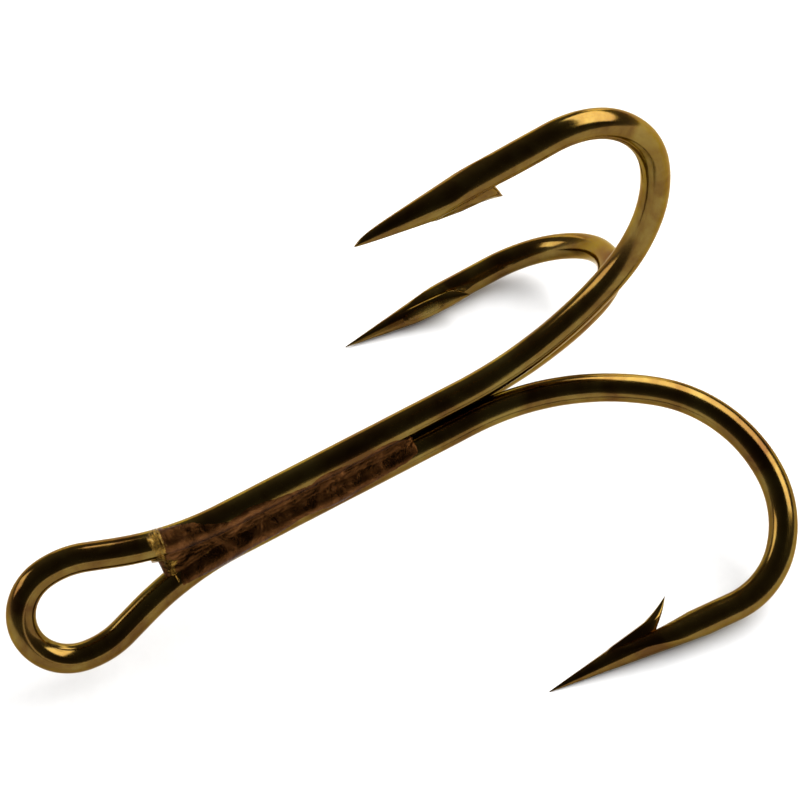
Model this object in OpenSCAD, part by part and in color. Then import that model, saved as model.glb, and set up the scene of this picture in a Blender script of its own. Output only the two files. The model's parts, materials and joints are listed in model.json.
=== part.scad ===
// Treble hook: a three-pointed fishing hook made from two lengths of round wire.
// The longer wire is doubled back on itself to form the eye and carries two hooks.
// The shorter wire carries the third hook and lies in the groove behind the first.
// Copper braze fills the grooves, the core and the throat of the eye.
//
// Each hook is drawn standing: its shank runs up +Z from the throat of the eye, and
// its bend turns outwards. The whole part is then laid down on its two lower hooks,
// with the remaining hook upright. The origin is the centre of the eye.

/* [Wire] */
// Diameter of the round hook wire
wire_d = 2.0; // [1.8:0.05:2.2]
// Width of the brazed gap between neighbouring shanks
braze_gap = 0.04; // [0.02:0.01:0.08]

/* [Bend] */
// Straight shank from the throat of the eye to the bend
shank_len = 18; // [16:0.5:21]
// Radius of the first, slow arc away from the shank
flare_radius = 21; // [18:0.5:24]
// Turn of the first arc
flare_angle = 36.5; // [34:0.5:39]
// Radius of the second arc, the upper bend
shoulder_radius = 10.5; // [9.5:0.25:11.5]
// Turn of the second arc
shoulder_angle = 55; // [53:0.5:57]
// Radius of the third arc, the bottom of the bend
base_radius = 7.5; // [7:0.25:8]
// Turn of the third arc
base_angle = 40.5; // [39:0.5:42]
// Radius of the last and tightest arc
heel_radius = 6; // [5:0.25:7]
// Turn of the last arc
heel_angle = 51.5; // [50:0.5:53]

/* [Points] */
// Straight point on each hook of the doubled wire
double_point_len = 14; // [13:0.5:16]
// Straight point on the single hook
single_point_len = 13; // [13:0.5:16]
// Length ground on the outer side of the point
outer_grind = 12; // [10:0.5:12.5]
// Length ground on the side that faces the shank
inner_grind = 5; // [4.5:0.25:6]
// Radius left at the very tip
tip_radius = 0.03; // [0.02:0.01:0.06]

/* [Barb] */
// Distance of the barb's tip behind the point
barb_reach = 10; // [9.6:0.1:10.4]
// Height of the barb's tip above the wire's centre line
barb_height = 2.65; // [2.4:0.05:2.8]
// Width of the raised sliver across the wire
barb_width = 1.2; // [0.9:0.05:1.4]

/* [Eye] */
// Radius of the arcs that part the two wires at the throat
throat_radius = 22; // [20:0.5:24]
// Turn of the throat arcs
throat_angle = 20.5; // [20:0.5:22]
// Radius of the eye's sides
side_radius = 5.8; // [5.4:0.1:6.2]
// Turn of the eye's sides
side_angle = 30; // [28:0.5:32]
// Radius of the round end of the eye, to the wire's centre line
crown_radius = 3.4; // [3.3:0.05:3.6]

/* [Braze] */
// Reach of the braze along the shank, from the throat
braze_len = 14; // [10:0.5:16]
// Reach of the braze into the throat of the eye
web_len = 5; // [3:0.25:5.5]
// Depth of each groove's fill outside the plane of its two wires
fill_depth = 0.72; // [0.6:0.02:0.8]
// Reach of the single wire past the throat, behind the eye
tail_len = 4.2; // [2:0.1:4.5]

/* [Pose] */
// Lean of the shank when the part lies on two hooks
rest_lean = 8.15; // [5:0.05:14]

/* [Hidden] */
$fn = 128;
throat_fn = 360;
wire_r = wire_d / 2;
overlap = 0.01;
cut_margin = 1;

// A hair-thin ring joins each stretch of a swept bar to the next.
seam_width = 0.04;
seam_lip = 0.005;

// The three shanks touch each other around the part's axis.
shank_offset = (wire_d + braze_gap) / sqrt(3);
pair_offset = (wire_d + braze_gap) / 2;
hook_spread = 120;
groove_turn = hook_spread / 2;
groove_offset = shank_offset / 2;

// Angles at which the ground cone meets the outer and inner sides of the point.
outer_slope = atan(wire_r / outer_grind);
inner_slope = atan(wire_r / inner_grind);
cone_angle = (inner_slope + outer_slope) / 2;
cone_tilt = (inner_slope - outer_slope) / 2;
cone_reach = 1.2;

// The barb's front face carries on along the inner slope and then curves up.
barb_root = 8.5;
barb_foot = 0.7 * wire_r;
barb_front_run = 1;
barb_rear_run = 0.3;
barb_lift = [7.8, 7.8 * tan(inner_slope)];
barb_tip = [barb_reach, barb_height];
barb_curve_radius = 12;
barb_chord = barb_tip - barb_lift;
barb_curve_depth = sqrt(pow(barb_curve_radius, 2) - pow(norm(barb_chord) / 2, 2));
barb_curve_centre = (barb_tip + barb_lift) / 2
  + [-barb_chord[1], barb_chord[0]] / norm(barb_chord) * barb_curve_depth;
notch_start = 8;
notch_end = 11;
notch_depth = 0.2;

// The eye's sides are straight between the throat and side arcs.
eye_entry = throat_angle - side_angle;
crown_angle = 90 + eye_entry;
eye_straight = (crown_radius * cos(eye_entry)
  - side_radius * (cos(eye_entry) - cos(throat_angle))
  - throat_radius * (1 - cos(throat_angle))
  - pair_offset) / sin(throat_angle);
eye_depth = throat_radius * sin(throat_angle)
  + eye_straight * cos(throat_angle)
  + side_radius * (sin(throat_angle) - sin(eye_entry))
  + crown_radius * sin(eye_entry);

// Paths are lists of straights [0, length] and arcs [radius, turn].
bend_path = [
  [flare_radius, flare_angle],
  [shoulder_radius, shoulder_angle],
  [base_radius, base_angle],
  [heel_radius, heel_angle],
];
throat_path = [[throat_radius, throat_angle]];
eye_path = [
  throat_path[0],
  [0, eye_straight],
  [-side_radius, side_angle],
  [-crown_radius, 2 * crown_angle],
  [-side_radius, side_angle],
  [0, eye_straight],
  throat_path[0],
];

// The braze sinks between the wires at each groove and at the edge of the web.
web_thickness = 1.7;
web_hollow_radius = 0.5;
meniscus_radius = 1.6;
meniscus_depth = 0.08;
core_radius = 0.5;
tail_chamfer = 0.25;

wire_color = [0.36, 0.26, 0.12];
third_wire_color = [0.4, 0.29, 0.14];
braze_color = [0.42, 0.2, 0.1];
bead_color = [0.7, 0.5, 0.2];

// The ring that joins two stretches of a swept bar, centred on the joint.
module seam(bar_r) {
  translate([0, 0, -seam_width / 2])
    cylinder(r = bar_r + seam_lip, h = seam_width);
}

// Sweeps a round bar along a path that starts up +Z and turns in the XZ plane.
// A positive radius turns towards +X. Children are placed at the end of the path.
module follow_path(path, bar_r, step = 0) {
  if (step > 0)
    seam(bar_r);
  if (step < len(path)) {
    radius = path[step][0];
    amount = path[step][1];
    if (radius == 0) {
      cylinder(r = bar_r, h = amount);
      translate([0, 0, amount])
        follow_path(path, bar_r, step + 1) children();
    } else {
      translate([radius, 0, 0])
        rotate([90, 0, radius > 0 ? 180 : 0])
          rotate_extrude(angle = amount)
            translate([abs(radius), 0])
              circle(r = bar_r);
      translate([radius, 0, 0])
        rotate([0, sign(radius) * amount, 0])
          translate([-radius, 0, 0])
            follow_path(path, bar_r, step + 1) children();
    }
  } else {
    children();
  }
}

// Side view of the barb: distance behind the tip, height above the centre line.
module barb_side() {
  difference() {
    polygon([
      [inner_grind - barb_front_run, barb_foot],
      [inner_grind, wire_r],
      barb_lift,
      barb_tip,
      [barb_root, wire_r],
      [barb_root - barb_rear_run, barb_foot],
    ]);
    translate(barb_curve_centre)
      circle(r = barb_curve_radius);
  }
}

// Plan view of the barb: it narrows towards its tip.
module barb_plan() {
  polygon([
    [0, -barb_width / 2],
    [barb_lift[0], -barb_width / 2],
    [barb_reach + overlap, -tip_radius],
    [barb_reach + overlap, tip_radius],
    [barb_lift[0], barb_width / 2],
    [0, barb_width / 2],
  ]);
}

// A raised sliver behind the point, drawn back from the tip at the origin.
module barb() {
  intersection() {
    rotate([0, 90, -90])
      linear_extrude(height = wire_d, center = true)
        barb_side();
    rotate([0, 90, 0])
      linear_extrude(height = 2 * barb_height)
        barb_plan();
  }
}

// The shallow cut left behind the sliver.
module barb_notch() {
  rotate([0, 90, -90])
    linear_extrude(height = wire_d, center = true)
      polygon([
        [notch_start, wire_r - notch_depth],
        [notch_end, wire_r],
        [notch_end, wire_d],
        [notch_start, wire_d],
      ]);
}

// A straight point up +Z, with +X towards the shank.
module hook_point(point_len) {
  cone_len = cone_reach * point_len;
  translate([0, 0, point_len]) {
    difference() {
      intersection() {
        translate([0, 0, -point_len])
          cylinder(r = wire_r, h = point_len);
        rotate([0, 180 - cone_tilt, 0])
          cylinder(
            r1 = tip_radius,
            r2 = tip_radius + cone_len * tan(cone_angle),
            h = cone_len
          );
      }
      barb_notch();
    }
    barb();
  }
}

// One shank, bend and point, at its place around the axis.
module hook_branch(turn, point_len, tail = 0) {
  rotate([0, 0, turn])
    translate([shank_offset, 0, -tail])
      follow_path(concat([[0, shank_len + tail]], bend_path), wire_r)
        hook_point(point_len);
}

// Places a path that runs down from one of the doubled wire's shanks, away from the other.
module below_shank(side) {
  rotate([0, 0, groove_turn])
    translate([groove_offset, side * pair_offset, 0])
      rotate([180, 0, side * 90])
        children();
}

// The eye: down from one shank, round the crown and back up to the other.
module eye() {
  below_shank(1) {
    seam(wire_r);
    follow_path(eye_path, wire_r);
  }
}

// The straight shanks of all three wires, used to shape the braze.
module shank_cutter() {
  for (turn = [0, hook_spread])
    rotate([0, 0, turn])
      translate([shank_offset, 0, 0])
        cylinder(r = wire_r, h = braze_len + cut_margin);
  rotate([0, 0, -hook_spread])
    translate([shank_offset, 0, -tail_len])
      cylinder(r = wire_r, h = braze_len + tail_len + cut_margin);
}

// The two wires where they part at the throat, cut finely for the thin web between.
module throat_cutter() {
  for (side = [-1, 1])
    below_shank(side)
      follow_path(throat_path, wire_r, $fn = throat_fn);
}

// Front view of a groove's fill, along the shank: it ends in a rounded tongue.
module tongue_plan() {
  translate([0, -wire_r])
    square([braze_len - wire_r, wire_d]);
  translate([braze_len - wire_r, 0])
    circle(r = wire_r);
}

// Braze in one outer groove, sunk along its middle.
module groove_fill(turn) {
  meniscus_offset = groove_offset + fill_depth + meniscus_radius - meniscus_depth;
  difference() {
    rotate([0, 0, turn])
      difference() {
        translate([groove_offset + overlap, 0, 0])
          rotate([0, -90, 180])
            linear_extrude(height = fill_depth)
              tongue_plan();
        translate([meniscus_offset, 0, -cut_margin])
          cylinder(r = meniscus_radius, h = braze_len + 2 * cut_margin);
      }
    shank_cutter();
  }
}

// Lays the standing part down on its two lower hooks, with the eye at the origin.
module laid_down() {
  rotate([0, 90 - rest_lean, 0])
    rotate([0, 0, 180])
      rotate([0, 0, groove_turn])
        translate([-groove_offset, 0, eye_depth])
          rotate([0, 0, -groove_turn])
            children();
}

// The doubled wire: two hooks, two shanks and the eye.
module double_hook() {
  color(wire_color)
    laid_down() {
      hook_branch(0, double_point_len);
      hook_branch(hook_spread, double_point_len);
      eye();
    }
}

// The third hook, on a wire of its own that ends behind the throat of the eye.
module single_hook() {
  color(third_wire_color)
    laid_down()
      difference() {
        hook_branch(-hook_spread, single_point_len, tail_len);
        rotate([0, 0, -hook_spread])
          translate([shank_offset, 0, -tail_len])
            difference() {
              translate([0, 0, -cut_margin])
                cylinder(r = wire_d, h = cut_margin + tail_chamfer);
              cylinder(r1 = wire_r - tail_chamfer, r2 = wire_r, h = tail_chamfer + overlap);
            }
      }
}

// The web of braze that closes the narrow end of the eye, with a hollow edge.
module throat_braze() {
  color(bead_color)
    laid_down()
      difference() {
        rotate([0, 0, groove_turn])
          translate([groove_offset - web_thickness / 2, 0, 0])
            difference() {
              translate([0, -wire_r, -web_len])
                cube([web_thickness, wire_d, web_len]);
              translate([-cut_margin, 0, -web_len])
                rotate([0, 90, 0])
                  cylinder(r = web_hollow_radius, h = web_thickness + 2 * cut_margin);
            }
        throat_cutter();
        shank_cutter();
      }
}

// Braze in the groove between the two shanks of the doubled wire.
module near_groove_braze() {
  color(braze_color)
    laid_down()
      groove_fill(groove_turn);
}

// Braze in the groove between the upright hook's shank and the third wire.
module far_groove_braze() {
  color(braze_color)
    laid_down()
      groove_fill(-groove_turn);
}

// Braze in the groove between the two lower shanks.
module lower_groove_braze() {
  color(braze_color)
    laid_down()
      groove_fill(180);
}

// Braze in the three-cornered channel between the shanks.
module core_braze() {
  color(braze_color)
    laid_down()
      difference() {
        cylinder(r = core_radius, h = braze_len);
        shank_cutter();
      }
}

double_hook();
single_hook();
throat_braze();
near_groove_braze();
far_groove_braze();
lower_groove_braze();
core_braze();
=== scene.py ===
import json
import math

import bpy
import numpy as np
from mathutils import Matrix, Vector


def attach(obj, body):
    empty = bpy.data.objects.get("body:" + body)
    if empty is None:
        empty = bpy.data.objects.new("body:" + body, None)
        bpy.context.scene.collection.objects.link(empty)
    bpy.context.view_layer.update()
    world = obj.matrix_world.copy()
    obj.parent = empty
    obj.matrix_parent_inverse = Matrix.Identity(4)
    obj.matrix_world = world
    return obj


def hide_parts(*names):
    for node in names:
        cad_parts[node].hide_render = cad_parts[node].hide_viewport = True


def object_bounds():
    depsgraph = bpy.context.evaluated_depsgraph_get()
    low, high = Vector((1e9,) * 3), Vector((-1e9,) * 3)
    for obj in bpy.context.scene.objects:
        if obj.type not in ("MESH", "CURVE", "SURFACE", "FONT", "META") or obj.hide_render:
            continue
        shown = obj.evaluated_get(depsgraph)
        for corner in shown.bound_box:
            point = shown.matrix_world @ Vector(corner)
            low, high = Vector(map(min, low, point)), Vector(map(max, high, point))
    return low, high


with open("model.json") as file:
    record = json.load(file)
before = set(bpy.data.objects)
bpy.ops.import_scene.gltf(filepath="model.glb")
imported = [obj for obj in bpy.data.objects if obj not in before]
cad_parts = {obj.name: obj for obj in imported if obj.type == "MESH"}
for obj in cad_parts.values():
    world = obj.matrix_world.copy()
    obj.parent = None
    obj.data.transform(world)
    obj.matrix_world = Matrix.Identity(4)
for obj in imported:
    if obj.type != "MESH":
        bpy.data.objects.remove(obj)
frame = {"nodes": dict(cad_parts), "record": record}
start_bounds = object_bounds()

# ---------------------------------------------------------------- sizes, in mm
# Each hook is worked out standing: its shank runs up +Z from the eye's throat.
WIRE = 1.0
GAP = 0.04
SHANK_OFFSET = (2 * WIRE + GAP) / math.sqrt(3)
PAIR_OFFSET = WIRE + GAP / 2
SHANK_LEN = 18.0
BEND = [(21.0, 36.5), (10.5, 55.0), (7.5, 40.5), (6.0, 51.5)]
THROAT = (22.0, 20.5)
SIDE = (5.8, 30.0)
CROWN_RADIUS = 3.4
TAIL = 4.2
LEAN = math.radians(8.15)
GROOVE = math.radians(60)
OUTER_GRIND = 12.0
INNER_GRIND = 5.0
TIP = 0.03
BRAZE_END = 14.0
WEB = 5.0
# the ground point starts this far behind the tip
GRIND_REACH = 14.0
# the grind's inner face is flattened to this share of its round depth
INNER_FLAT = 0.93
# the cut left by raising the barb: where it starts, how long it runs out, how deep it is
CUT_START, CUT_RUN, CUT_DEPTH = 8.0, 3.0, 0.2
# the torn patch in that cut: its middle, half length and depth
TEAR_MIDDLE, TEAR_REACH, TEAR_DEPTH = 9.4, 1.5, 0.07
# the free end of the single hook's wire is rounded off by this radius
TAIL_ROUND = 0.25
# the barb's outline, as distance back from the tip and height towards the shank
BARB_FOOT, BARB_ROOT_HEIGHT = (4.2, 0.7), 0.7
BARB_KNEE = (5.0, 1.0)
BARB_LIFT_AT = 7.8
BARB_PEAK = (10.0, 2.65)
BARB_HALF_WIDTH, BARB_EDGE = 0.6, 0.025
BARB_ROUNDING = 0.45
# every braze run is hollow inside the wires, down to this distance from the axis
CORE_RADIUS = 0.62
# rings round a wire, and rows and columns of a braze run and of the web
SIDES = 72
BRAZE_GRID = (240, 110)
WEB_GRID = (46, 26)
# direction, length of point, bluntness of the outer grind, where the barb's rear is rooted
HOOKS = {
    "upright": (0.0, 14.0, 0.42, 9.45),
    "near": (120.0, 14.0, 0.0, 8.3),
    "far": (-120.0, 13.0, 0.0, 8.9),
}


# ---------------------------------------------------------------- paths
def walk(segments, start, step=0.12):
    """Points and headings along straights (0, length) and arcs (signed radius, degrees)."""
    p = np.array(start, float)
    h = 0.0
    points, headings = [], []
    for radius, amount in segments:
        if radius == 0:
            count = max(2, int(amount / step))
            t = np.linspace(0, amount, count, endpoint=False)
            points.append(p + np.outer(t, [math.sin(h), math.cos(h)]))
            headings.append(np.full(count, h))
            p = p + amount * np.array([math.sin(h), math.cos(h)])
        else:
            sign = math.copysign(1, radius)
            size = abs(radius)
            turn = math.radians(amount)
            count = max(8, int(size * turn / step))
            t = np.linspace(0, turn, count + 1)
            centre = p + size * sign * np.array([math.cos(h), -math.sin(h)])
            arc = centre + size * np.column_stack(
                [-sign * np.cos(h + sign * t), sign * np.sin(h + sign * t)]
            )
            points.append(arc[:-1])
            headings.append(h + sign * t[:-1])
            p = arc[-1]
            h = h + sign * turn
    points.append(p[None])
    headings.append([h])
    return np.concatenate(points), np.concatenate(headings)


def eye_sizes():
    """Length of the eye's straight sides, its depth, and where its crown starts in degrees."""
    throat = math.radians(THROAT[1])
    entry = math.radians(THROAT[1] - SIDE[1])
    straight = (
        CROWN_RADIUS * math.cos(entry)
        - SIDE[0] * (math.cos(entry) - math.cos(throat))
        - THROAT[0] * (1 - math.cos(throat))
        - PAIR_OFFSET
    ) / math.sin(throat)
    depth = (
        THROAT[0] * math.sin(throat)
        + straight * math.cos(throat)
        + SIDE[0] * (math.sin(throat) - math.sin(entry))
        + CROWN_RADIUS * math.sin(entry)
    )
    return straight, depth, math.degrees(entry)


EYE_STRAIGHT, EYE_DEPTH, EYE_ENTRY = eye_sizes()
EYE_MOUNT = np.array(frame["record"]["mounts"][0]["pos_m"])


def lay(points):
    """Standing hook coordinates in mm to the row frame in metres."""
    p = np.atleast_2d(points) - np.array(
        [
            SHANK_OFFSET / 2 * math.cos(GROOVE),
            SHANK_OFFSET / 2 * math.sin(GROOVE),
            -EYE_DEPTH,
        ]
    )
    s, c = math.sin(LEAN), math.cos(LEAN)
    turn = np.array([[-s, 0, c], [0, -1, 0], [c, 0, s]])
    return p @ turn.T / 1000 + EYE_MOUNT


def hook_run(name, tail=0.0):
    """Centre line of one hook from throat to tip, with its inward and sideways directions."""
    turn, point_len = HOOKS[name][:2]
    flat, headings = walk(
        [(0, SHANK_LEN + tail)] + BEND + [(0, point_len)], (SHANK_OFFSET, -tail)
    )
    a = math.radians(turn)
    out = np.array([math.cos(a), math.sin(a), 0])
    side = np.array([-math.sin(a), math.cos(a), 0])
    up = np.array([0, 0, 1.0])
    centre = np.outer(flat[:, 0], out) + np.outer(flat[:, 1], up)
    inward = np.outer(np.cos(headings), out) - np.outer(np.sin(headings), up)
    return centre, inward, np.tile(side, (len(centre), 1))


def pair_directions():
    """The doubled shank's outward direction, and the one from wire to wire."""
    face = np.array([math.cos(GROOVE), math.sin(GROOVE), 0])
    across = np.array([-math.sin(GROOVE), math.cos(GROOVE), 0])
    return face, across


def eye_run():
    """Centre line of the eye, from the near shank round to the upright hook's shank."""
    half, _ = walk(
        [
            THROAT,
            (0, EYE_STRAIGHT),
            (-SIDE[0], SIDE[1]),
            (-CROWN_RADIUS, 90 + EYE_ENTRY),
        ],
        (PAIR_OFFSET, 0),
    )
    face, across = pair_directions()
    base = face * SHANK_OFFSET / 2
    down = np.outer(-half[:, 1], [0, 0, 1.0])
    one = base + np.outer(half[:, 0], across) + down
    other = base - np.outer(half[:, 0], across) + down
    return np.concatenate([one, other[::-1][1:]])


# ---------------------------------------------------------------- meshes
def smooth_noise(shape, scale, seed):
    """Smooth noise on a grid, roughly between -1 and 1, as a sum of random waves."""
    r = np.random.default_rng(seed)
    u = np.linspace(0, 1, shape[0])[:, None] * scale[0]
    v = np.linspace(0, 1, shape[1])[None, :] * scale[1]
    total = np.zeros(shape)
    waves = 28
    for _ in range(waves):
        a, b, phase = r.normal(0, 1), r.normal(0, 1), r.uniform(0, 6.283)
        total += np.sin(2 * math.pi * (a * u + b * v) + phase)
    return total / math.sqrt(waves) / 1.4


def mesh_object(name, vertices, faces, uvs=None):
    """A smooth-shaded object in the scene, with one texture coordinate per vertex."""
    mesh = bpy.data.meshes.new(name)
    mesh.from_pydata([tuple(v) for v in vertices], [], faces)
    if uvs is not None:
        layer = mesh.uv_layers.new(name="UVMap")
        loops = np.zeros(len(mesh.loops), int)
        mesh.loops.foreach_get("vertex_index", loops)
        layer.data.foreach_set("uv", np.asarray(uvs, float)[loops].ravel())
    mesh.polygons.foreach_set("use_smooth", [True] * len(mesh.polygons))
    mesh.validate()
    obj = bpy.data.objects.new(name, mesh)
    bpy.context.scene.collection.objects.link(obj)
    return obj


def ring_faces(rings, sides, first=0):
    """Faces of a tube of rings, closed at both ends; first is its first vertex's number."""
    faces = []
    for i in range(rings - 1):
        for j in range(sides):
            a = first + i * sides + j
            b = first + i * sides + (j + 1) % sides
            faces.append((a, b, b + sides, a + sides))
    faces.append(tuple(first + j for j in reversed(range(sides))))
    last = first + (rings - 1) * sides
    faces.append(tuple(last + j for j in range(sides)))
    return faces


def point_profile(back, angle, blunt):
    """Radius of the ground point at distances back from its tip; angle 0 faces the shank."""
    inner = 1 / INNER_GRIND
    fullness = (1 - np.exp(-back / 0.7)) * (1 - back / GRIND_REACH)
    outer = TIP + back / OUTER_GRIND + blunt * fullness
    offset = (back * inner + TIP - outer) / 2
    radius = (back * inner + TIP + outer) / 2
    rho = offset * np.cos(angle) + np.sqrt(
        np.maximum(radius**2 - (offset * np.sin(angle)) ** 2, 1e-8)
    )
    facing = np.maximum(np.cos(angle), 1e-3)
    inner_side = np.cos(angle) > 0.05
    flat = (TIP + back * inner) * INNER_FLAT / facing
    rho = np.where(inner_side, np.minimum(rho, flat), rho)
    rho = np.minimum(rho, WIRE)
    cut = WIRE - CUT_DEPTH * np.clip(1 - (back - CUT_START) / CUT_RUN, 0, 1)
    no_cut = 10 * WIRE
    cut = np.where(back > CUT_START, cut, no_cut)
    return np.where(inner_side, np.minimum(rho, cut / facing), rho)


def run_along(centre):
    """Distance of each point of a centre line from its start."""
    step = np.linalg.norm(np.diff(centre, axis=0), axis=1)
    return np.concatenate([[0], np.cumsum(step)])


def swept(centre, inward, side, backs, blunts, free_end, seed):
    """Ring vertices of a wire; backs is each ring's distance from its tip."""
    angles = np.linspace(0, 2 * math.pi, SIDES, endpoint=False)
    vertices, uvs = [], []
    run = run_along(centre)
    r = np.random.default_rng(seed)
    wave = sum(
        0.004 * np.sin(run * r.uniform(0.4, 2.2) + r.uniform(0, 6.28)) for _ in range(4)
    )
    for i in range(len(centre)):
        rho = np.full(SIDES, WIRE)
        if backs[i] < GRIND_REACH:
            rho = point_profile(np.full(SIDES, backs[i]), angles, blunts[i])
            tear = max(0.0, 1 - abs(backs[i] - TEAR_MIDDLE) / TEAR_REACH)
            facing = np.clip(np.cos(angles) * 1.6 - 0.4, 0, 1)
            ragged = 1 + r.uniform(-1, 1, SIDES) * 0.35
            rho = rho - TEAR_DEPTH * tear * facing * ragged
        if free_end:
            rho = rho - TAIL_ROUND * max(0.0, 1 - run[i] / TAIL_ROUND)
        rho = np.minimum(rho * (1 + wave[i] * 0.5), WIRE * 1.002)
        ring = (
            centre[i]
            + np.outer(rho * np.cos(angles), inward[i])
            + np.outer(rho * np.sin(angles), side[i])
        )
        vertices.append(ring)
        along = np.full(SIDES, run[i] / 50)
        uvs.append(np.column_stack([angles / (2 * math.pi), along]))
    return vertices, uvs


def barb_mesh(root, tip, back, inward, side, first):
    """The raised sliver: a loft from its foot inside the wire up to its sharp tip."""
    foot_front = np.array(BARB_FOOT)
    knee = np.array(BARB_KNEE)
    lift = np.array([BARB_LIFT_AT, BARB_LIFT_AT * (1 / INNER_GRIND)])
    peak = np.array(BARB_PEAK)
    foot_rear = np.array([root, BARB_ROOT_HEIGHT])
    # shares of the loft at which the front edge reaches its knee and the grind's face
    at_knee, at_lift = 0.3, 0.55
    sections = 26
    front, rear = [], []
    for t in np.linspace(0, 1, sections):
        if t < at_knee:
            k = t / 0.3
            f = foot_front + (knee - foot_front) * k
        elif t < at_lift:
            k = (t - at_knee) / 0.25
            f = knee + (lift - knee) * k
        else:
            k = (t - at_lift) / 0.45
            bow = np.array([0.026, -0.054]) * 4 * k * (1 - k) * 1.2
            f = lift + (peak - lift) * k + bow
        g = foot_rear + (peak - foot_rear) * (t**0.9)
        g = g + np.array([0.05, -0.06]) * math.sin(math.pi * t)
        front.append(f)
        rear.append(g)
    vertices, uvs = [], []
    count = 12
    for i, (f, g) in enumerate(zip(front, rear)):
        t = i / (sections - 1)
        half = BARB_HALF_WIDTH * min(1.0, (1 - t) / 0.6) + BARB_EDGE
        # around the section: front face, one side, rear face, the other side
        loop = []
        for j in range(count):
            a = 2 * math.pi * (j + 0.5) / count
            c, w = math.cos(a), math.sin(a)
            along = 0.5 - 0.5 * math.copysign(abs(c) ** BARB_ROUNDING, c)
            wide = math.copysign(abs(w) ** BARB_ROUNDING, w)
            s, n = f + (g - f) * along
            loop.append(tip + back * s + inward * n + side * half * wide)
        vertices.append(np.array(loop))
        uvs.append(
            np.column_stack([np.linspace(0, 0.3, count), np.full(count, t * 0.05)])
        )
    faces = [face[::-1] for face in ring_faces(len(vertices), count, first)]
    return np.concatenate(vertices), np.concatenate(uvs), faces


def add_wire(name, centre, inward, side, backs, blunts, barbs, seed, free_end=False):
    """One object of a swept wire and its barbs, each barb a closed shell rooted in the wire."""
    vertices, uvs = swept(centre, inward, side, backs, blunts, free_end, seed)
    faces = ring_faces(len(vertices), SIDES)
    vertices = np.concatenate(vertices)
    uvs = np.concatenate(uvs)
    for root, tip, back, inn, sid in barbs:
        v, u, f = barb_mesh(root, tip, back, inn, sid, len(vertices))
        vertices = np.concatenate([vertices, v])
        uvs = np.concatenate([uvs, u])
        faces += f
    return mesh_object(name, lay(vertices), faces, uvs)


def back_from_tip(centre):
    """Direction from the tip back along the point."""
    back = centre[-2] - centre[-1]
    return back / np.linalg.norm(back)


def barb_place(name, centre, inward, side):
    """What barb_mesh needs for one hook: its rear root, tip and three directions."""
    return HOOKS[name][3], centre[-1], back_from_tip(centre), inward[-1], side[-1]


def tip_distance(centre):
    """Distance of each point of a centre line from its tip."""
    run = run_along(centre)
    return run[-1] - run


def refine_tip(centre, inward, side):
    """Extra rings in the last stretch, where the point runs out."""
    extra = np.array([0.09, 0.06, 0.03, 0.0])
    rows = centre[-1] + np.outer(extra, back_from_tip(centre))
    n = len(extra)
    return (
        np.concatenate([centre[:-1], rows]),
        np.concatenate([inward[:-1], np.tile(inward[-1], (n, 1))]),
        np.concatenate([side[:-1], np.tile(side[-1], (n, 1))]),
    )


def double_hook():
    """One wire: near point, near shank, eye, upright shank, upright point."""
    near = refine_tip(*hook_run("near"))
    upright = refine_tip(*hook_run("upright"))
    loop = eye_run()
    far_away = np.full(len(loop) - 2, 99.0)
    centre = np.concatenate([near[0][::-1], loop[1:-1], upright[0]])
    backs = np.concatenate(
        [tip_distance(near[0])[::-1], far_away, tip_distance(upright[0])]
    )
    # carry the ring's directions smoothly round the eye
    run_dir = np.gradient(centre, axis=0)
    run_dir /= np.linalg.norm(run_dir, axis=1)[:, None]
    inward = np.zeros_like(centre)
    side = np.zeros_like(centre)
    n0 = len(near[0])
    n1 = len(loop) - 2
    inward[:n0], side[:n0] = near[1][::-1], -near[2][::-1]
    for i in range(n0, len(centre)):
        v = inward[i - 1] - run_dir[i] * np.dot(inward[i - 1], run_dir[i])
        inward[i] = v / np.linalg.norm(v)
        side[i] = np.cross(run_dir[i], inward[i])
    # turn the carried frame onto the upright hook's own frame over the eye
    target = upright[1][0]
    got_i, got_s = inward[n0 + n1], side[n0 + n1]
    error = math.atan2(np.dot(target, got_s), np.dot(target, got_i))
    for i in range(n0, len(centre)):
        share = min(1.0, (i - n0 + 1) / n1)
        c, s = math.cos(error * share), math.sin(error * share)
        vi, vs = inward[i].copy(), side[i].copy()
        inward[i] = vi * c + vs * s
        side[i] = vs * c - vi * s
    barbs = [barb_place("near", *near), barb_place("upright", *upright)]
    on_near = np.arange(len(centre)) < n0
    blunts = np.where(on_near, HOOKS["near"][2], HOOKS["upright"][2])
    return add_wire("double_hook_wire", centre, inward, side, backs, blunts, barbs, 3)


def single_hook():
    """The far hook's wire, from its free end below the braze to its point."""
    run = refine_tip(*hook_run("far", TAIL))
    backs = tip_distance(run[0])
    # extra rings round off the free end
    extra = np.array([0.03, 0.08, 0.16])
    lead = run[0][0] + np.outer(extra, [0, 0, 1.0])
    centre = np.concatenate([run[0][:1], lead, run[0][2:]])
    inward, side = (
        np.concatenate([way[:1], np.tile(way[0], (len(extra), 1)), way[2:]])
        for way in run[1:]
    )
    backs = np.concatenate([backs[:1], backs[0] - extra, backs[2:]])
    blunts = np.full(len(centre), HOOKS["far"][2])
    barbs = [barb_place("far", *run)]
    return add_wire(
        "single_hook_wire", centre, inward, side, backs, blunts, barbs, 5, free_end=True
    )


# ---------------------------------------------------------------- braze
def shank_outline(phi, z, legs):
    """Distance from the axis to the outermost wire surface in direction phi, at height z."""
    best = np.full(np.broadcast(phi, z).shape, 0.0)
    for centre_of in legs:
        cx, cy = centre_of(z)
        along = cx * np.cos(phi) + cy * np.sin(phi)
        across = -cx * np.sin(phi) + cy * np.cos(phi)
        inside = WIRE**2 - across**2
        rho = np.where(inside > 0, along + np.sqrt(np.maximum(inside, 0)), 0)
        best = np.maximum(best, rho)
    return best


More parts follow.
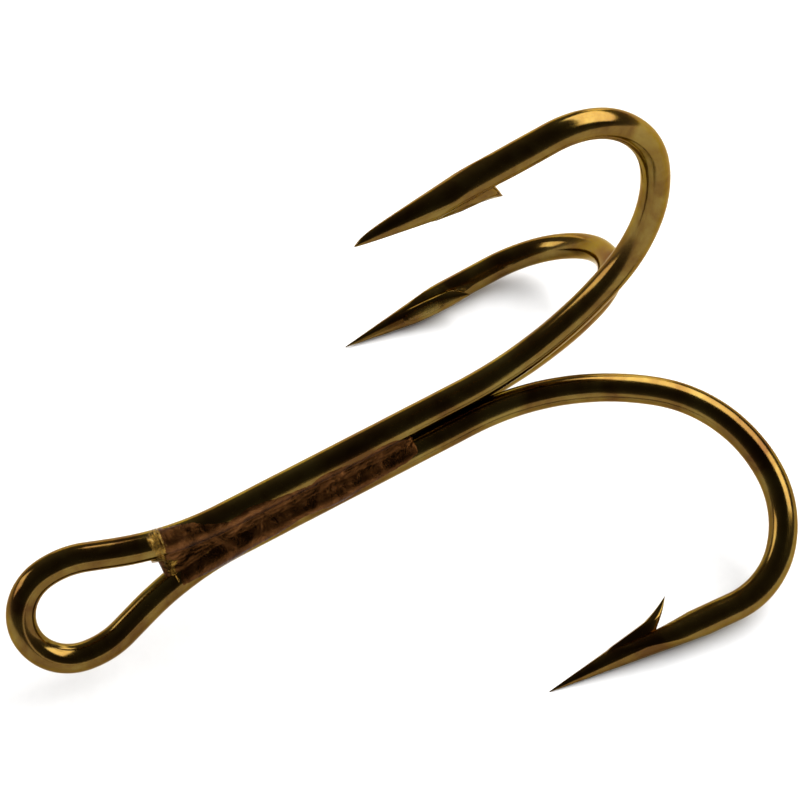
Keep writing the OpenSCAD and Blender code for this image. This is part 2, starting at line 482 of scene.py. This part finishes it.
def pair_spread(below):
    """How far each doubled wire has moved sideways, this far below the throat."""
    return THROAT[0] - np.sqrt(THROAT[0] ** 2 - below**2)


def doubled_leg(side_sign):
    """The place of one wire of the doubled shank, as a function of height."""

    def place(z):
        below = np.clip(-z, 0, THROAT[0] * 0.35)
        lateral = side_sign * (PAIR_OFFSET + pair_spread(below))
        x = SHANK_OFFSET / 2 * math.cos(GROOVE) - lateral * math.sin(GROOVE)
        y = SHANK_OFFSET / 2 * math.sin(GROOVE) + lateral * math.cos(GROOVE)
        return x, y

    return place


def third_leg(z):
    """The place of the single hook's wire, far away below its free end."""
    a = math.radians(HOOKS["far"][0])
    gone = np.where(z < -TAIL, 99, 0)
    return SHANK_OFFSET * math.cos(a) - gone, SHANK_OFFSET * math.sin(a) - gone


LEGS = [doubled_leg(1), doubled_leg(-1), third_leg]


def braze_sleeve(name, middle, reach, z0, z1, level, skin, seed, rough, lift=0.0):
    """A lumpy run of braze: a height field round the axis that dips under the wires.

    middle and reach are its directions in degrees, z0 to z1 its heights, level its fill
    between the wires, skin its cover of them, and lift raises its lower end on the far side.
    """
    rows, cols = BRAZE_GRID
    phi_rel = np.radians(np.linspace(reach[0], reach[1], cols))[None, :]
    start = z0 + lift * np.clip((np.degrees(phi_rel) + 38) / 16, 0, 1)
    z = start + np.linspace(0, 1, rows)[:, None] * (z1 - start)
    phi = math.radians(middle) + phi_rel
    base = shank_outline(phi, z, LEGS)
    fill = level / np.maximum(np.cos(phi_rel), 0.35)
    fill = np.where(np.abs(phi_rel) < math.radians(50), fill, 0)
    big = smooth_noise((rows, cols), (2.6, 1.6), seed)
    fine = smooth_noise((rows, cols), (11, 5), seed + 1)
    micro = smooth_noise((rows, cols), (34, 14), seed + 2)
    cover = skin(z, np.degrees(phi_rel)) + 0.5 * big
    inside = np.clip(cover + 0.6, 0, 1)
    coat = 0.035 * np.tanh(cover * 1.6) + rough * inside * (0.6 * fine + 0.4 * micro)
    end_fade = np.clip(z1 - z, 0, 1) ** 0.5
    fill = fill * np.where(z > z1 - 1, 0.55 + 0.45 * end_fade, 1)
    dip = 0.1 * np.tanh(cover) - 0.1
    surface = np.maximum(base + coat, fill + dip + rough * (1.2 * fine + micro))
    edge_width = 0.12
    edge = np.minimum(
        (phi_rel - phi_rel.min()) / edge_width, (phi_rel.max() - phi_rel) / edge_width
    )
    surface = surface - 0.25 * np.clip(1 - edge, 0, 1)
    ends = np.minimum((z - start) / 0.35, (z1 - z) / 0.5)
    surface = surface - 0.3 * np.clip(1 - ends, 0, 1) ** 2
    surface = np.maximum(surface, CORE_RADIUS + 0.02)
    vertices = np.concatenate(
        [
            np.stack([r * np.cos(phi), r * np.sin(phi), z + 0 * phi], -1).reshape(-1, 3)
            for r in (surface, np.full(surface.shape, CORE_RADIUS))
        ]
    )
    n = rows * cols
    faces = []
    for i in range(rows - 1):
        for j in range(cols - 1):
            a = i * cols + j
            faces.append((a, a + 1, a + cols + 1, a + cols))
            b = n + a
            faces.append((b, b + cols, b + cols + 1, b + 1))
    for i in range(rows - 1):
        a = i * cols
        faces.append((a, a + cols, n + a + cols, n + a))
        a = i * cols + cols - 1
        faces.append((a, n + a, n + a + cols, a + cols))
    for j in range(cols - 1):
        faces.append((j, n + j, n + j + 1, j + 1))
        a = (rows - 1) * cols + j
        faces.append((a, a + 1, n + a + 1, n + a))
    u = np.tile(np.linspace(0, 1, cols), rows)
    v = np.repeat(np.linspace(0, (z1 - z0) / 6, rows), cols)
    uvs = np.tile(np.column_stack([u, v]), (2, 1))
    return mesh_object(name, lay(vertices), faces, uvs)


def near_skin(z, deg):
    """Where the copper has spread over the two front shanks, widest near the eye."""
    low = -34 - 44 * np.clip(-z / 4.5, 0, 1) + 16 * np.clip(z / 14, 0, 1)
    high = 47 - 10 * np.clip(z / 14, 0, 1)
    inside = np.minimum((deg - low) / 14, (high - deg) / 11)
    tongue = (BRAZE_END - z) / 1.1 - ((deg - 8) / 26) ** 2
    along = np.minimum((z + 4.55) / 0.4, tongue)
    return np.clip(np.minimum(inside, along), -1.6, 1.2)


def side_skin(z, deg):
    """The narrow line of braze in each of the two grooves beside the single hook."""
    inside = (16 - np.abs(deg)) / 9
    along = np.minimum((z + 3.6) / 0.5, (BRAZE_END - z) / 1.2)
    return np.clip(np.minimum(inside, along), -1.6, 1.0)


def throat_skin(z, deg):
    """A thin wavy ring across the throat, where the run of braze starts."""
    centre = -4.75 + 0.22 * np.sin(deg / 17) + 0.12 * np.sin(deg / 6.1 + 2)
    ring = (0.42 + 0.16 * np.sin(deg / 11 + 1) - np.abs(z - centre)) / 0.22
    inside = np.minimum((deg + 112) / 12, (34 - deg) / 12)
    return np.clip(np.minimum(ring, inside), -1.6, 1.6)


def throat_web():
    """The web that closes the narrow end of the eye: a plate with a hollow, lumpy edge."""
    rows, cols = WEB_GRID
    face, across = pair_directions()
    base = face * SHANK_OFFSET / 2
    z = np.linspace(-WEB, 0.4, rows)
    lumps = smooth_noise((rows, cols), (3, 2), 31)
    fine = smooth_noise((rows, cols), (9, 5), 32)
    grid = []
    for i in range(rows):
        half = PAIR_OFFSET + pair_spread(max(0.0, -z[i]))
        lat = np.linspace(-half, half, cols)
        # the first row is the web's free edge: pinched thin and hollowed
        pinch = 1.0 if i else 0.45
        t = lat / half
        hollow = 0 * t if i else 0.3 * (1 - t**2) + 0.2 * (1 - t)
        front = (0.66 + 0.07 * lumps[i] + 0.03 * fine[i]) * pinch
        rear = (0.62 + 0.07 * lumps[i, ::-1]) * -pinch
        order = range(cols)
        loop = [(j, front[j]) for j in order] + [(j, rear[j]) for j in reversed(order)]
        grid.append(
            [
                base + across * lat[j] + face * out + np.array([0, 0, z[i] + hollow[j]])
                for j, out in loop
            ]
        )
    sides = 2 * cols
    uvs = np.concatenate(
        [
            np.column_stack([np.linspace(0, 1, sides), np.full(sides, i / rows)])
            for i in range(rows)
        ]
    )
    vertices = lay(np.concatenate(grid))
    return mesh_object("throat_braze_web", vertices, ring_faces(rows, sides), uvs)


# ---------------------------------------------------------------- materials
def new_material(name):
    """A new material, its node tree and its shader."""
    mat = bpy.data.materials.new(name)
    mat.use_nodes = True
    tree = mat.node_tree
    shader = tree.nodes["Principled BSDF"]
    return mat, tree, shader


def ramp(tree, source, stops):
    """The colour at source's value, between stops of (place, colour)."""
    node = tree.nodes.new("ShaderNodeValToRGB")
    while len(node.color_ramp.elements) < len(stops):
        node.color_ramp.elements.new(0.5)
    for element, (place, colour) in zip(node.color_ramp.elements, stops):
        element.position = place
        element.color = colour
    tree.links.new(source, node.inputs["Fac"])
    return node.outputs["Color"]


def grey(level):
    return (level, level, level, 1)


def noise(tree, vector, scale, detail, rough, distortion=0.0):
    """Noise between 0 and 1."""
    node = tree.nodes.new("ShaderNodeTexNoise")
    node.inputs["Scale"].default_value = scale
    node.inputs["Detail"].default_value = detail
    node.inputs["Roughness"].default_value = rough
    node.inputs["Distortion"].default_value = distortion
    tree.links.new(vector, node.inputs["Vector"])
    return node.outputs["Fac"]


def stretched(tree, vector, scale):
    """The coordinates scaled along each axis."""
    node = tree.nodes.new("ShaderNodeMapping")
    node.inputs["Scale"].default_value = scale
    tree.links.new(vector, node.inputs["Vector"])
    return node.outputs["Vector"]


def multiply(tree, factor, a, b):
    """Colour a darkened by colour b, by this share."""
    node = tree.nodes.new("ShaderNodeMix")
    node.data_type = "RGBA"
    node.blend_type = "MULTIPLY"
    node.inputs[0].default_value = factor
    sockets = [s for s in node.inputs if s.type == "RGBA"]
    for socket, value in zip(sockets, (a, b)):
        tree.links.new(value, socket)
    return [s for s in node.outputs if s.type == "RGBA"][0]


def span(tree, source, low, high, to_low, to_high):
    """The value moved from one range to another and kept inside it."""
    node = tree.nodes.new("ShaderNodeMapRange")
    node.inputs["From Min"].default_value = low
    node.inputs["From Max"].default_value = high
    node.inputs["To Min"].default_value = to_low
    node.inputs["To Max"].default_value = to_high
    tree.links.new(source, node.inputs["Value"])
    return node.outputs["Result"]


def bump(tree, height, strength, distance, normal=None):
    """A surface normal tilted by a height, on top of another bump if one is given."""
    node = tree.nodes.new("ShaderNodeBump")
    node.inputs["Strength"].default_value = strength
    node.inputs["Distance"].default_value = distance
    tree.links.new(height, node.inputs["Height"])
    if normal is not None:
        tree.links.new(normal, node.inputs["Normal"])
    return node.outputs["Normal"]


def bronze_wire(name):
    """Clear bronze lacquer over drawn steel, with faint drawing lines and brown patches."""
    mat, tree, shader = new_material(name)
    coords = tree.nodes.new("ShaderNodeTexCoord")
    place, flat = coords.outputs["Object"], coords.outputs["UV"]
    patches = noise(tree, place, 260, 5, 0.6, 0.4)
    streaks = noise(tree, stretched(tree, flat, (60, 3, 1)), 4, 8, 0.65)
    specks = noise(tree, place, 3200, 3, 0.7)
    body = ramp(
        tree,
        patches,
        [
            (0.36, (0.080, 0.034, 0.006, 1)),
            (0.5, (0.135, 0.076, 0.014, 1)),
            (0.64, (0.180, 0.120, 0.026, 1)),
        ],
    )
    lines = ramp(tree, streaks, [(0.35, (0.72, 0.7, 0.66, 1)), (0.65, (1, 1, 1, 1))])
    body = multiply(tree, 0.55, body, lines)
    tree.links.new(body, shader.inputs["Base Color"])
    shader.inputs["Metallic"].default_value = 1.0
    tree.links.new(
        span(tree, patches, 0.3, 0.75, 0.1, 0.19), shader.inputs["Roughness"]
    )
    shader.inputs["Specular Tint"].default_value = (0.72, 0.56, 0.3, 1)
    shader.inputs["Coat Weight"].default_value = 0.12
    shader.inputs["Coat Roughness"].default_value = 0.06
    shader.inputs["Coat IOR"].default_value = 1.5
    low = bump(tree, streaks, 0.12, 0.00002)
    tree.links.new(bump(tree, specks, 0.08, 0.00001, low), shader.inputs["Normal"])
    return mat


def copper_braze(name, painted_shade_low, light, painted_highlight_high, roughness, finer):
    """Solidified braze: wrinkled and grainy, its colour darker in the lows and lighter on the
    highs of its bumps, with painted shade in the lows and a painted highlight on the highs.
    """
    mat, tree, shader = new_material(name)
    coords = tree.nodes.new("ShaderNodeTexCoord")
    place = stretched(tree, coords.outputs["Object"], (1.0, 1.02, 0.98))
    clouds = noise(tree, place, 620 + finer, 8, 0.65, 1.6)
    grains = noise(tree, place, 2400, 6, 0.7, 0.8)
    pits = tree.nodes.new("ShaderNodeTexVoronoi")
    pits.inputs["Scale"].default_value = 1500
    tree.links.new(place, pits.inputs["Vector"])
    # the colour follows the bump's own noise: painted shade in the lows, painted highlight on
    # the highs
    body = ramp(tree, clouds, [(0.32, painted_shade_low), (0.55, light), (0.78, painted_highlight_high)])
    grit = ramp(tree, grains, [(0.35, (0.55, 0.5, 0.48, 1)), (0.62, (1, 1, 1, 1))])
    tree.links.new(multiply(tree, 0.7, body, grit), shader.inputs["Base Color"])
    shader.inputs["Metallic"].default_value = 1.0
    tree.links.new(
        span(tree, clouds, 0.3, 0.75, roughness[0], roughness[1]),
        shader.inputs["Roughness"],
    )
    low = bump(tree, clouds, 0.8, 0.00012)
    mid = bump(tree, grains, 0.5, 0.00004, low)
    tree.links.new(
        bump(tree, pits.outputs["Distance"], 0.25, 0.00003, mid), shader.inputs["Normal"]
    )
    return mat


def floor_material():
    """Pale card with a faint fibre."""
    mat, tree, shader = new_material("pale_floor")
    coords = tree.nodes.new("ShaderNodeTexCoord")
    fibre = noise(tree, coords.outputs["Object"], 900, 6, 0.6)
    shade = ramp(tree, fibre, [(0.3, grey(0.90)), (0.7, grey(0.93))])
    tree.links.new(shade, shader.inputs["Base Color"])
    shader.inputs["Roughness"].default_value = 0.9
    shader.inputs["Specular IOR Level"].default_value = 0.1
    tree.links.new(bump(tree, fibre, 0.05, 0.00005), shader.inputs["Normal"])
    return mat


# ---------------------------------------------------------------- build
wire_mat = bronze_wire("bronzed_wire")
# colours for the braze's lows, middles and highs: painted shade in the lows, painted highlight
# on the highs
braze_mat = copper_braze(
    "copper_braze",
    (0.032, 0.012, 0.003, 1),
    (0.095, 0.037, 0.010, 1),
    (0.24, 0.098, 0.032, 1),
    (0.2, 0.42),
    0,
)
# colours for the bead's lows, middles and highs: painted shade in the lows, painted highlight
# on the highs
bead_mat = copper_braze(
    "bright_braze",
    (0.06, 0.026, 0.005, 1),
    (0.30, 0.17, 0.03, 1),
    (0.70, 0.46, 0.14, 1),
    (0.18, 0.34),
    40,
)


def finish_piece(obj, node, material):
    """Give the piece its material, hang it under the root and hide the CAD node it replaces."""
    obj.data.materials.append(material)
    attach(obj, "root")
    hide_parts(node)


finish_piece(double_hook(), "double_hook", wire_mat)
finish_piece(single_hook(), "single_hook", wire_mat)
# CAD node, then what braze_sleeve needs: name, middle, reach, z0, z1, level, skin, seed, rough
BRAZE_RUNS = [
    (
        "near_groove_braze",
        ("near_braze_run", 60, (-92, 92), -5.3, BRAZE_END + 0.1, 1.34, near_skin, 11, 0.016),
    ),
    (
        "far_groove_braze",
        ("far_braze_run", -60, (-44, 44), -4.0, BRAZE_END, 1.3, side_skin, 21, 0.014),
    ),
    (
        "lower_groove_braze",
        ("lower_braze_run", 180, (-44, 44), -4.0, BRAZE_END, 1.3, side_skin, 41, 0.014),
    ),
]
for node_name, run in BRAZE_RUNS:
    finish_piece(braze_sleeve(*run), node_name, braze_mat)
finish_piece(throat_web(), "throat_braze", bead_mat)
bead = braze_sleeve(
    "throat_braze_bead", 60, (-120, 46), -5.7, -3.9, 1.36, throat_skin, 51, 0.07, lift=0.6
)
finish_piece(bead, "throat_braze", bead_mat)
core_materials = frame["nodes"]["core_braze"].data.materials
core_materials.clear()
core_materials.append(braze_mat)

# ---------------------------------------------------------------- stage
low, high = (Vector(c) for c in start_bounds)
FLOOR_SIZE = 1.6
FLOOR_CELLS = 40
corners = FLOOR_CELLS + 1
grid = [
    (
        low.x - FLOOR_SIZE / 2 + FLOOR_SIZE * i / FLOOR_CELLS,
        -FLOOR_SIZE / 2 + FLOOR_SIZE * j / FLOOR_CELLS,
        low.z,
    )
    for j in range(corners)
    for i in range(corners)
]
cells = [
    (a, a + 1, a + corners + 1, a + corners)
    for j in range(FLOOR_CELLS)
    for a in range(j * corners, j * corners + FLOOR_CELLS)
]
floor = mesh_object("floor", grid, cells)
floor.data.materials.append(floor_material())


LIGHT_DISTANCE = 0.6
middle = (low + high) / 2


def softbox(name, azimuth, elevation, width, height, radiance, colour=(1, 1, 1)):
    """A soft panel seen from the hook in a direction, by angles in degrees.

    Azimuth 0 is +Y and 90 is +X; width and height are the angles that the panel fills.
    """
    a, e = math.radians(azimuth), math.radians(elevation)
    away = Vector(
        (math.sin(a) * math.cos(e), math.cos(a) * math.cos(e), math.sin(e))
    )
    data = bpy.data.lights.new(name, "AREA")
    data.shape = "RECTANGLE"
    data.size = 2 * LIGHT_DISTANCE * math.tan(math.radians(width / 2))
    data.size_y = 2 * LIGHT_DISTANCE * math.tan(math.radians(height / 2))
    data.energy = radiance * 4 * data.size * data.size_y
    data.color = colour
    obj = bpy.data.objects.new(name, data)
    bpy.context.scene.collection.objects.link(obj)
    obj.location = middle + away * LIGHT_DISTANCE
    obj.rotation_euler = away.to_track_quat("Z", "Y").to_euler()
    return obj


softbox("right_softbox", 82, 43, 74, 38, 5.2)
softbox("low_strip", 40, 9, 14, 16, 3.0)
softbox("left_softbox", -55, 24, 34, 22, 3.6, (1.0, 0.97, 0.92))
softbox("back_strip", 12, 4, 28, 9, 2.2)
softbox("front_strip", -176, 3, 12, 6, 1.6)
# fills the floor from above without a reflection of its own
softbox("floor_fill", 0, 88, 70, 70, 0.8).visible_glossy = False

# a dark room above a pale floor, darker towards -Y
world = bpy.data.worlds.new("studio")
bpy.context.scene.world = world
world.use_nodes = True
tree = world.node_tree
background = tree.nodes["Background"]
coords = tree.nodes.new("ShaderNodeTexCoord")
split = tree.nodes.new("ShaderNodeSeparateXYZ")
tree.links.new(coords.outputs["Generated"], split.inputs["Vector"])
sky = ramp(
    tree,
    span(tree, split.outputs["Z"], -1, 1, 0, 1),
    [
        (0.5, grey(0.9)),
        (0.55, grey(0.5)),
        (0.64, grey(0.26)),
        (0.8, grey(0.16)),
        (1.0, grey(0.08)),
    ],
)
room = ramp(
    tree,
    span(tree, split.outputs["Y"], -0.6, 0.7, 0, 1),
    [(0.0, grey(0.35)), (1.0, grey(1))],
)
tree.links.new(multiply(tree, 1.0, sky, room), background.inputs["Color"])
background.inputs["Strength"].default_value = 1.0

# ---------------------------------------------------------------- camera
cam_data = bpy.data.cameras.new("camera")
camera = bpy.data.objects.new("camera", cam_data)
bpy.context.scene.collection.objects.link(camera)
bpy.context.scene.camera = camera
# direction of view, roll, distance and the point looked at, fitted to the photograph
AZIMUTH = math.radians(22.465)
ELEVATION = math.radians(49.843)
ROLL = math.radians(4.611)
DISTANCE = 0.15138
TARGET = Vector((0.024283, -0.001380, 0.009602))
look = Vector(
    (
        math.sin(AZIMUTH) * math.cos(ELEVATION),
        math.cos(AZIMUTH) * math.cos(ELEVATION),
        -math.sin(ELEVATION),
    )
)
level = look.cross(Vector((0, 0, 1))).normalized()
upward = level.cross(look)
cam_up = upward * math.cos(ROLL) + level * math.sin(ROLL)
cam_right = look.cross(cam_up).normalized()
turn = Matrix((cam_right, cam_up, -look)).transposed()
camera.matrix_world = Matrix.Translation(TARGET - look * DISTANCE) @ turn.to_4x4()
cam_data.lens = 103.5
cam_data.sensor_width = 36
cam_data.clip_start = 0.005
cam_data.clip_end = 10

scene = bpy.context.scene
scene.view_settings.view_transform = "Standard"
scene.view_settings.exposure = 0.0

bpy.context.view_layer.update()
